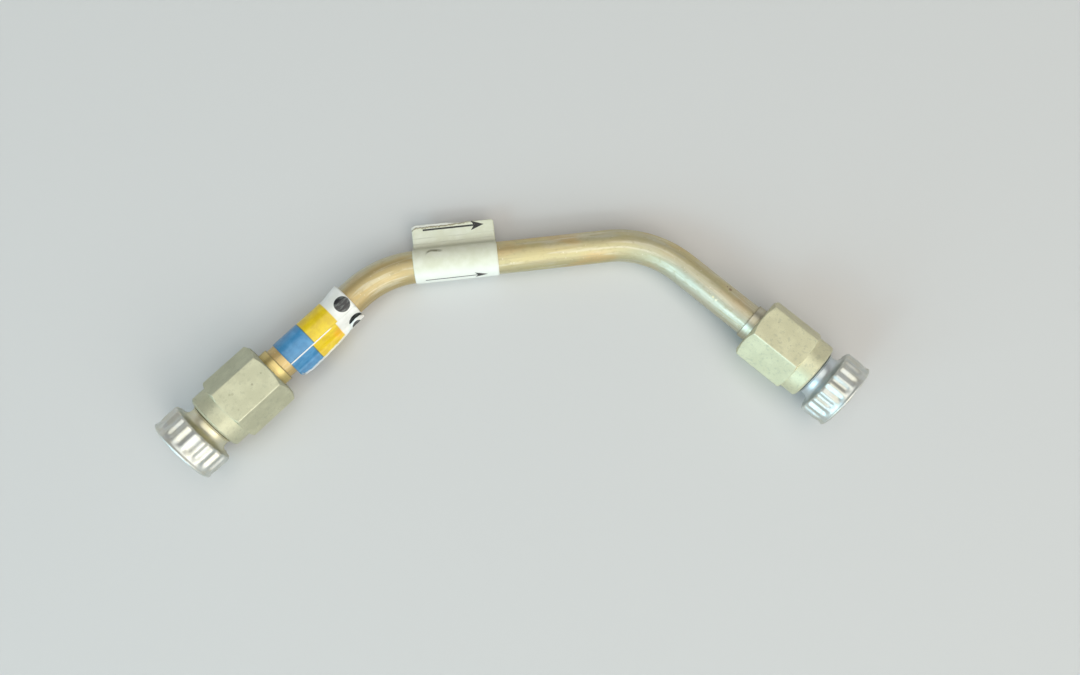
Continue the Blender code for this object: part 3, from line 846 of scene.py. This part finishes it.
def tube_finish(length):
    """Pale gold conversion coat with drawing lines, rubbed streaks, dust and specks, and painted
    light: painted shade and a toned highlight on the left bend, a painted neutral sheen on the
    right leg.
    """
    finish = Finish("chromated_tube", Metallic=1.0, Coat_Weight=0.5, Coat_Roughness=0.16)
    flat = finish.attribute("flat", "Vector")
    run, _, inner = finish.parts(flat)
    cloud = finish.patches(0.38, 0.66, flat, 0.11, 3.0, (0.45, 1.0, 1.0))
    colour = finish.mixed(cloud, (0.53, 0.485, 0.28), (0.60, 0.515, 0.265))
    grey = finish.patches(0.5, 0.66, flat, 0.2, 3.0, (0.25, 1.0, 1.0))
    colour = finish.tinted(colour, grey, 0.55, (0.56, 0.55, 0.46))
    warm = finish.patches(0.5, 0.66, flat, 0.15, 2.0, (0.5, 1.0, 1.0))
    colour = finish.tinted(colour, warm, 0.6, (0.62, 0.44, 0.20))
    colour = finish.mixed(finish.span(*GOLDEN_STRETCH, run, 1.5), colour, (0.62, 0.47, 0.21))
    # Painted light on the left bend: its inner, lit side deeper gold to tone down its highlight,
    # and its outer side greyer as painted shade
    bend = finish.span(*LEFT_BEND, run, 4.0)
    painted_lit_side = finish.math("MULTIPLY", bend, finish.step(-2.6, -0.2, inner))
    colour = finish.tinted(colour, painted_lit_side, 0.8, (0.50, 0.39, 0.18))
    dull = finish.math("MULTIPLY", bend, finish.step(-1.2, -3.2, inner))
    colour = finish.tinted(colour, dull, 0.5, (0.56, 0.53, 0.41))
    # Painted sheen: the right leg's inner side greyer, so that its highlight looks neutral
    painted_sheen = finish.math("MULTIPLY", finish.step(*PAINTED_SHEEN_FROM, run), finish.step(-2.0, 2.0, inner))
    colour = finish.tinted(colour, painted_sheen, 0.6, (0.51, 0.52, 0.47))
    streak = finish.noise(flat, 1.5, 3.0, (0.03, 1.0, 1.0))
    dark = finish.step(0.5, 0.66, streak)
    colour = finish.tinted(colour, dark, 0.55, (0.46, 0.39, 0.23))
    rubbed = finish.patches(0.54, 0.68, flat, 0.8, 4.0, (0.08, 1.0, 1.0))
    colour = finish.tinted(colour, rubbed, 0.5, (0.70, 0.67, 0.52))
    mottle = finish.patches(0.52, 0.7, flat, 1.3, 4.0, (0.5, 1.0, 1.0))
    colour = finish.tinted(colour, mottle, 0.3, (0.47, 0.40, 0.25))
    dust = finish.math("MULTIPLY", finish.specks(flat, 0.7, 0.17),
                       finish.patches(0.48, 0.56, flat, 0.2, 1.0))
    colour = finish.tinted(colour, dust, 0.35, (0.84, 0.81, 0.70))
    for from_end, turn, radius, tone in TUBE_SPECKS:
        turn = math.radians(turn)
        centre = (length - from_end, TUBE_RADIUS * math.cos(turn), TUBE_RADIUS * math.sin(turn))
        colour = finish.mixed(finish.ball(flat, centre, radius), colour, tone)
    finish.surface("Base Color", colour)
    fine = finish.noise(flat, 7.0, 3.0, (0.02, 1.0, 1.0))
    rough = finish.math("MULTIPLY_ADD", fine, 0.16, 0.49)
    finish.surface("Roughness", finish.math("MULTIPLY_ADD", mottle, 0.08, rough))
    height = finish.math("ADD", fine, finish.math("MULTIPLY", streak, 2.0))
    finish.bump(finish.math("ADD", height, finish.math("MULTIPLY", mottle, 0.6)), 0.010)
    return finish.material


def sleeve_finish(side):
    """Gold conversion coat over turning lines, with painted shade at the tail's end, where it meets
    the tube.
    """
    finish = Finish("chromated_sleeve_" + side, Metallic=1.0)
    dull, bright = SLEEVE_COLOURS[side]
    flat = finish.attribute("flat", "Vector")
    cloud = finish.patches(0.35, 0.7, flat, 0.35, 3.0)
    colour = finish.mixed(cloud, dull, bright)
    rings = finish.noise(flat, 3.0, 2.0, (0.04, 0.04, 1.0))
    colour = finish.tinted(colour, finish.step(0.5, 0.7, rings), 0.35, (0.42, 0.34, 0.17))
    end = finish.parts(flat)[2]
    # Painted shade in the gap where the tail's end meets the tube
    painted_tail_shade = finish.step(SLEEVE_END + 0.35, SLEEVE_END + 0.1, end)
    finish.surface("Base Color", finish.tinted(colour, painted_tail_shade, 0.6, (0.30, 0.25, 0.14)))
    finish.surface("Roughness", finish.math("MULTIPLY_ADD", rings, 0.14, 0.35))
    finish.bump(rings, 0.008)
    return finish.material


def nut_finish(side):
    """Matt anodised coat, mottled and pitted, with paler edges that are partly wear and partly a
    painted highlight.
    """
    finish = Finish("anodised_nut_" + side, Metallic=0.5)
    flat = finish.attribute("flat", "Vector")
    edge_wear_and_highlight = finish.attribute("edge_wear_and_highlight", "Fac")
    cloud = finish.patches(0.35, 0.7, flat, 0.22, 4.0)
    colour = finish.mixed(cloud, *NUT_COLOURS[side])
    mottle = finish.patches(0.54, 0.70, flat, 1.0, 3.0)
    colour = finish.tinted(colour, mottle, 0.34, (0.37, 0.38, 0.275))
    grain = finish.noise(flat, 4.0, 4.0)
    colour = finish.tinted(colour, finish.step(0.5, 0.75, grain), 0.35, (0.38, 0.38, 0.28))
    pits = finish.math("MULTIPLY", finish.specks(flat, 0.33, 0.10), 0.18)
    for across, along, radius, depth in NUT_PITS[side]:
        pit = finish.ball(flat, (HEX_INRADIUS, across, along), radius)
        pits = finish.math("MAXIMUM", pits, finish.math("MULTIPLY", pit, depth))
    colour = finish.tinted(colour, pits, 0.75, (0.25, 0.235, 0.17))
    # Paler edges: partly wear, partly a painted highlight along the hexagon's edges, its chamfers
    # and the mouth
    edge = finish.math("MULTIPLY", edge_wear_and_highlight, finish.patches(0.2, 0.5, flat, 1.1, 3.0))
    colour = finish.tinted(colour, edge, 0.45, (0.76, 0.74, 0.58))
    finish.surface("Base Color", colour)
    rough = finish.math("MULTIPLY_ADD", grain, 0.12, 0.42)
    finish.surface("Roughness", finish.math("SUBTRACT", rough, finish.math("MULTIPLY", edge, 0.14)))
    height = finish.math("SUBTRACT", finish.math("MULTIPLY", grain, 0.8), pits)
    finish.bump(finish.math("SUBTRACT", height, finish.math("MULTIPLY", mottle, 0.4)), 0.035)
    return finish.material


def plug_finish(side):
    """Bright bare metal under a thin film, with a painted reflection on the neck: the nut's gold on
    the left plug, cool blue light on the right one.
    """
    finish = Finish("bright_plug_" + side, Metallic=1.0)
    flat = finish.attribute("flat", "Vector")
    height = finish.parts(flat)[2]
    cloud = finish.patches(0.35, 0.7, flat, 0.4, 3.0)
    colour = finish.mixed(cloud, (0.60, 0.625, 0.60), (0.68, 0.695, 0.66))
    film = finish.patches(0.4, 0.62, flat, 0.35, 3.0)
    colour = finish.tinted(colour, film, 0.4, (0.60, 0.57, 0.44))
    # On the neck the colour is mixed towards its painted reflection
    film = finish.math("MULTIPLY_ADD", film, 0.25, 0.6)
    film = finish.math("MULTIPLY", film, finish.span(NUT_MOUTH, HEAD_BASE, height, 0.4))
    colour = finish.mixed(film, colour, NECK_REFLECTION_COLOURS[side])
    colour = finish.tinted(colour, finish.specks(flat, 0.8, 0.14), 0.4, (0.40, 0.40, 0.37))
    finish.surface("Base Color", colour)
    rings = finish.noise(flat, 4.0, 2.0, (0.05, 0.05, 1.0))
    finish.surface("Roughness", finish.math("MULTIPLY_ADD", rings, 0.14, 0.37))
    lines = finish.noise(flat, 2.2, 1.0, (0.02, 0.02, 1.0))
    lines = finish.math("MULTIPLY", lines, finish.math("MULTIPLY_ADD", film, 6.0, 0.5))
    worn = finish.math("ADD", rings, finish.noise(flat, 0.9, 2.0))
    finish.bump(finish.math("ADD", worn, lines), 0.012)
    return finish.material


def printed_disc(finish, across, along, centre, radius, soft=0.06):
    """1 inside a disc on the flat film, 0 outside."""
    dx = finish.math("SUBTRACT", across, centre[0])
    dy = finish.math("SUBTRACT", along, centre[1])
    square = finish.math("ADD", finish.math("MULTIPLY", dx, dx), finish.math("MULTIPLY", dy, dy))
    distance = finish.math("SQRT", square)
    return finish.math("SUBTRACT", 1.0, finish.step(radius - soft, radius + soft, distance))


def band_finish():
    """Blue, yellow and white fields with ink discs, under clear laminate."""
    finish = Finish("laminated_band", Coat_Weight=0.4, Coat_Roughness=0.08)
    flat = finish.attribute("flat", "Vector")
    z, q, edge = finish.parts(flat)
    cloud = finish.patches(0.35, 0.7, flat, 0.5, 3.0)
    blue = finish.mixed(cloud, (0.045, 0.24, 0.49), (0.08, 0.31, 0.58))
    yellow = finish.mixed(cloud, (0.74, 0.51, 0.004), (0.85, 0.63, 0.008))
    white = finish.mixed(cloud, (0.80, 0.81, 0.76), (0.88, 0.88, 0.85))
    colour = finish.mixed(finish.step(*BLUE_TO_YELLOW, z), blue, yellow)
    seam = finish.span(-3.55, -3.25, z)
    colour = finish.tinted(colour, seam, 0.7, (0.05, 0.12, 0.08))
    amber = printed_disc(finish, z, q, (4.4, 7.4), 1.6, 0.9)
    colour = finish.tinted(colour, amber, 0.6, (0.92, 0.42, 0.02))
    colour = finish.mixed(finish.step(*YELLOW_TO_WHITE, z), colour, white)
    disc = 0.0
    for centre, radius in BAND_DISCS:
        disc = finish.math("MAXIMUM", disc, printed_disc(finish, z, q, centre, radius))
    gloss = finish.patches(0.46, 0.60, flat, 1.2, 2.0, (0.3, 1.0, 1.0))
    ink = finish.mixed(gloss, (0.010, 0.010, 0.013), (0.095, 0.11, 0.105))
    colour = finish.mixed(disc, colour, ink)
    cut = finish.math("MULTIPLY", finish.span(4.06, 4.42, q, 0.04), finish.step(4.2, 2.6, z))
    colour = finish.mixed(cut, colour, (0.90, 0.91, 0.88))
    rim = finish.math("SUBTRACT", 1.0, finish.step(0.3, 0.6, edge))
    colour = finish.tinted(colour, rim, 0.8, (0.78, 0.82, 0.80))
    finish.surface("Base Color", colour)
    finish.surface("Roughness", finish.math("MULTIPLY_ADD", cloud, 0.1, 0.3))
    finish.bump(finish.noise(flat, 0.9, 2.0, (0.25, 1.0, 1.0)), 0.03)
    return finish.material


def arrow(finish, z, q, line, start, tip, half_shaft, half_head, back):
    """Arrow on the flat film: a shaft and a head whose back is swept towards the tip."""
    soft = 0.05
    notch_share, sweep = 0.74, 0.26
    off = finish.math("ABSOLUTE", finish.math("SUBTRACT", q, line))
    stroke = finish.math("MULTIPLY", finish.span(start, tip - back * 0.6, z),
                         finish.step(half_shaft + soft, half_shaft - soft, off))
    ahead = finish.math("SUBTRACT", tip, z)
    slope = half_head / back
    side = finish.math("MULTIPLY", ahead, slope)
    outer = finish.step(-soft, soft, finish.math("SUBTRACT", side, off))
    notch = finish.math("SUBTRACT", ahead, back * notch_share)
    barb = finish.math("MULTIPLY", notch, slope / sweep)
    inner = finish.step(-soft, soft, finish.math("SUBTRACT", off, barb))
    head = finish.math("MULTIPLY", outer, inner)
    head = finish.math("MULTIPLY", head, finish.step(back + 0.02, back - 0.02, ahead))
    return finish.math("MAXIMUM", stroke, head)


def smudge_mark(finish, flat, z, q):
    """Dark curved smudge on the flag, hooked at its left end."""
    away = finish.math("ADD", z, 6.7)
    hook = finish.math("MINIMUM", away, 0.0)
    bow = finish.math("MULTIPLY_ADD", finish.math("MULTIPLY", hook, hook), 0.49, -3.1)
    bow = finish.math("MULTIPLY_ADD", finish.math("MAXIMUM", away, 0.0), 0.17, bow)
    off = finish.math("ABSOLUTE", finish.math("SUBTRACT", q, bow))
    mark = finish.math("MULTIPLY", finish.step(0.75, 0.25, off), finish.span(-8.0, -4.0, z, 0.8))
    blot = finish.patches(0.3, 0.6, flat, 0.9, 3.0)
    return finish.math("MULTIPLY", mark, finish.math("MULTIPLY_ADD", blot, 0.4, 0.5))


def flag_finish(upper_line):
    """Off-white coated paper with creases, painted shade in its fold, creases and back flap,
    painted light on its wrap, a torn edge that is dark brown along its left half, and two flow
    arrows.
    """
    finish = Finish("paper_flag", Coat_Weight=0.05, Coat_Roughness=0.35)
    flat = finish.attribute("flat", "Vector")
    z, q, edge = finish.parts(flat)
    cloud = finish.patches(0.3, 0.75, flat, 0.35, 4.0)
    colour = finish.mixed(cloud, (0.70, 0.71, 0.55), (0.78, 0.79, 0.66))
    fibre = finish.noise(flat, 6.0, 4.0, (0.6, 1.0, 1.0))
    colour = finish.tinted(colour, finish.step(0.5, 0.8, fibre), 0.25, (0.66, 0.66, 0.55))
    # Painted shade: a darker band in the fold
    painted_fold_shade = finish.span(-8.4, -4.6, q, 1.1)
    colour = finish.tinted(colour, painted_fold_shade, 0.5, (0.50, 0.50, 0.38))
    # Painted shade on the back flap behind the front one
    painted_back_shade = finish.step(18.0, 20.0, q)
    colour = finish.tinted(colour, painted_back_shade, 0.6, (0.56, 0.55, 0.42))
    # Painted shade: dark lines in the creases along the fold
    for line, depth in FLAG_CREASE_SHADES:
        bent = finish.math("MULTIPLY_ADD", finish.noise(flat, 0.25, 1.0), 0.7, line - 0.35)
        off = finish.math("ABSOLUTE", finish.math("SUBTRACT", q, bent))
        share = finish.math("MULTIPLY", finish.step(0.22, 0.03, off), cloud)
        colour = finish.tinted(colour, share, depth, (0.40, 0.40, 0.30))
    colour = finish.mixed(smudge_mark(finish, flat, z, q), colour, (0.16, 0.15, 0.075))
    # Painted light: the paper round the tube made whiter, as light from below falls on it
    painted_wrap_light = finish.step(2.0, 5.0, q)
    colour = finish.tinted(colour, painted_wrap_light, 0.7, (0.83, 0.84, 0.80))
    # Dark brown along the torn front edge, on the flag's left half
    torn = finish.math("MULTIPLY_ADD", finish.noise(flat, 1.5, 3.0), 0.9, -0.05)
    torn_edge_brown = finish.step(0.12, -0.12, finish.math("SUBTRACT", edge, torn))
    torn_edge_brown = finish.math("MULTIPLY", torn_edge_brown, finish.step(7.0, 2.0, z))
    colour = finish.tinted(colour, torn_edge_brown, 0.8, (0.27, 0.23, 0.13))
    upper = arrow(finish, z, q, upper_line, *UPPER_ARROW)
    lower = arrow(finish, z, q, LOWER_ARROW_RUN, *LOWER_ARROW)
    ink = finish.math("MAXIMUM", upper, lower)
    patchy = finish.math("MULTIPLY_ADD", finish.step(0.45, 0.7, fibre), -0.12, 1.0)
    colour = finish.tinted(colour, ink, patchy, (0.006, 0.006, 0.007))
    finish.surface("Base Color", colour)
    finish.surface("Roughness", finish.math("MULTIPLY_ADD", fibre, 0.15, 0.45))
    finish.bump(finish.math("ADD", fibre, finish.noise(flat, 0.8, 3.0, (0.3, 1.0, 1.0))), 0.02)
    return finish.material


def dress(item, material, slot, body, *nodes):
    """Gives a piece its material and body, and the solid that it stands for, if any; its slot is
    not used.
    """
    item.data.materials.append(material)
    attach(item, body)
    if nodes:
        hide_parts(*nodes)


# Stage

# Strength of the room's light behind the object and in front of it
STUDIO_LEVELS = (0.15, 0.42)
# Pale backdrop that the camera and the metal see: its strength, and the heights of the
# direction between which it fades out
BACKDROP_LEVEL = 0.85
BACKDROP_TOP = (0.30, 0.55)

# Floor: side in metres, colour, and the distances between which it fades into the backdrop
FLOOR_SIZE = 60.0
FLOOR_COLOUR = (0.62, 0.62, 0.615)
HAZE_REACH = (0.4, 2.2)

# Area lamps, turned to the object: name, place and size in metres, power in watts, colour
LAMPS = (
    ("warm_box", (0.75, -1.25, 1.25), 1.8, 19.5, (1.0, 0.955, 0.86)),
    ("warm_spark", (0.62, -1.30, 1.25), 0.2, 1.8, (1.0, 0.965, 0.88)),
    ("cool_box", (-1.50, -1.15, 0.75), 1.7, 25.0, (0.46, 0.80, 1.0)),
    ("cool_spark", (-1.20, -1.10, 1.00), 0.2, 2.6, (0.75, 0.98, 1.0)),
    ("top_box", (0.10, 0.10, 2.00), 1.8, 15.0, (1.0, 0.975, 0.90)),
)

# The photograph's viewpoint, fitted to its 1080 by 675 pixels
CAMERA_LENS = 28.55
CAMERA_PLACE = (-0.003941, -0.037068, 0.250436)
CAMERA_TURN = (8.3104, -1.9726, -5.1718)


def make_camera():
    data = bpy.data.cameras.new("camera")
    data.lens = CAMERA_LENS
    data.sensor_width = 36.0
    data.sensor_fit = "HORIZONTAL"
    data.clip_start = 0.01
    camera = bpy.data.objects.new("camera", data)
    camera.location = CAMERA_PLACE
    camera.rotation_euler = [math.radians(turn) for turn in CAMERA_TURN]
    bpy.context.scene.collection.objects.link(camera)
    bpy.context.scene.camera = camera


def make_light(name, location, size, power, colour):
    data = bpy.data.lights.new(name, "AREA")
    data.size = size
    data.energy = power
    data.color = colour
    lamp = bpy.data.objects.new(name, data)
    lamp.location = location
    lamp.rotation_euler = (-Vector(location)).to_track_quat("-Z", "Y").to_euler()
    bpy.context.scene.collection.objects.link(lamp)


def make_floor():
    """Pale floor, which fades into the backdrop's level with the distance."""
    bpy.ops.mesh.primitive_plane_add(size=FLOOR_SIZE)
    floor = bpy.context.object
    floor.name = "floor"
    finish = Finish("floor", Roughness=0.85)
    finish.surface("Base Color", FLOOR_COLOUR)
    away = finish.node("ShaderNodeVectorMath", "LENGTH")
    finish.feed(away.inputs[0], finish.node("ShaderNodeTexCoord").outputs["Object"])
    far = finish.step(*HAZE_REACH, away.outputs["Value"])
    haze = finish.node("ShaderNodeEmission")
    finish.feed(haze.inputs["Strength"], BACKDROP_LEVEL)
    both = finish.node("ShaderNodeMixShader")
    finish.feed(both.inputs[0], finish.math("MULTIPLY", far, finish.shown_rays()))
    finish.feed(both.inputs[1], finish.shader.outputs[0])
    finish.feed(both.inputs[2], haze.outputs[0])
    finish.feed(finish.tree.nodes["Material Output"].inputs["Surface"], both.outputs[0])
    floor.data.materials.append(finish.material)


def make_world():
    """Soft light from all round, and the pale backdrop that camera and gloss see."""
    world = bpy.data.worlds.new("studio")
    bpy.context.scene.world = world
    world.use_nodes = True
    sky = Nodes(world.node_tree)
    _, ahead, up = sky.parts(sky.node("ShaderNodeTexCoord").outputs["Generated"])
    room = sky.ranged("LINEAR", ahead, 1.0, -1.0, *STUDIO_LEVELS)
    low = sky.ranged("SMOOTHSTEP", up, *BACKDROP_TOP, 1.0, 0.0)
    level = sky.node("ShaderNodeMix")
    sky.feed(level.inputs[0], sky.math("MULTIPLY", low, sky.shown_rays()))
    sky.feed(level.inputs[2], room)
    sky.feed(level.inputs[3], BACKDROP_LEVEL)
    background = world.node_tree.nodes["Background"]
    sky.feed(background.inputs["Color"], (1.0, 1.0, 1.0))
    sky.feed(background.inputs["Strength"], level.outputs[0])


def main():
    make_camera()
    make_floor()
    for lamp in LAMPS:
        make_light(*lamp)
    make_world()
    bpy.context.scene.view_settings.view_transform = "Standard"
    tube = tube_finish(centreline()[2][-1])
    dress(make_tube(), tube, "tube_aluminium", "tube_and_sleeves", "tube")
    for side in ("left", "right"):
        sleeve = make_sleeve(side)
        dress(sleeve, sleeve_finish(side), "sleeve_aluminium", "tube_and_sleeves", "sleeve_" + side)
        nut = make_nut(side)
        dress(nut, nut_finish(side), "nut_aluminium", side + "_nut", "coupling_nut_" + side)
        plug = make_plug(side)
        dress(plug, plug_finish(side), "plug_aluminium", side + "_plug", "protective_plug_" + side)
    film = band_finish()
    wrap, strip, ear = make_band()
    dress(wrap, film, "band_film", "tube_and_sleeves", "identification_band")
    dress(strip, film, "band_film", "tube_and_sleeves")
    dress(ear, film, "band_film", "tube_and_sleeves")
    paper = flag_finish(flag_line(UPPER_ARROW_REACH))
    dress(make_flag(), paper, "flag_paper", "tube_and_sleeves", "flow_flag")


main()
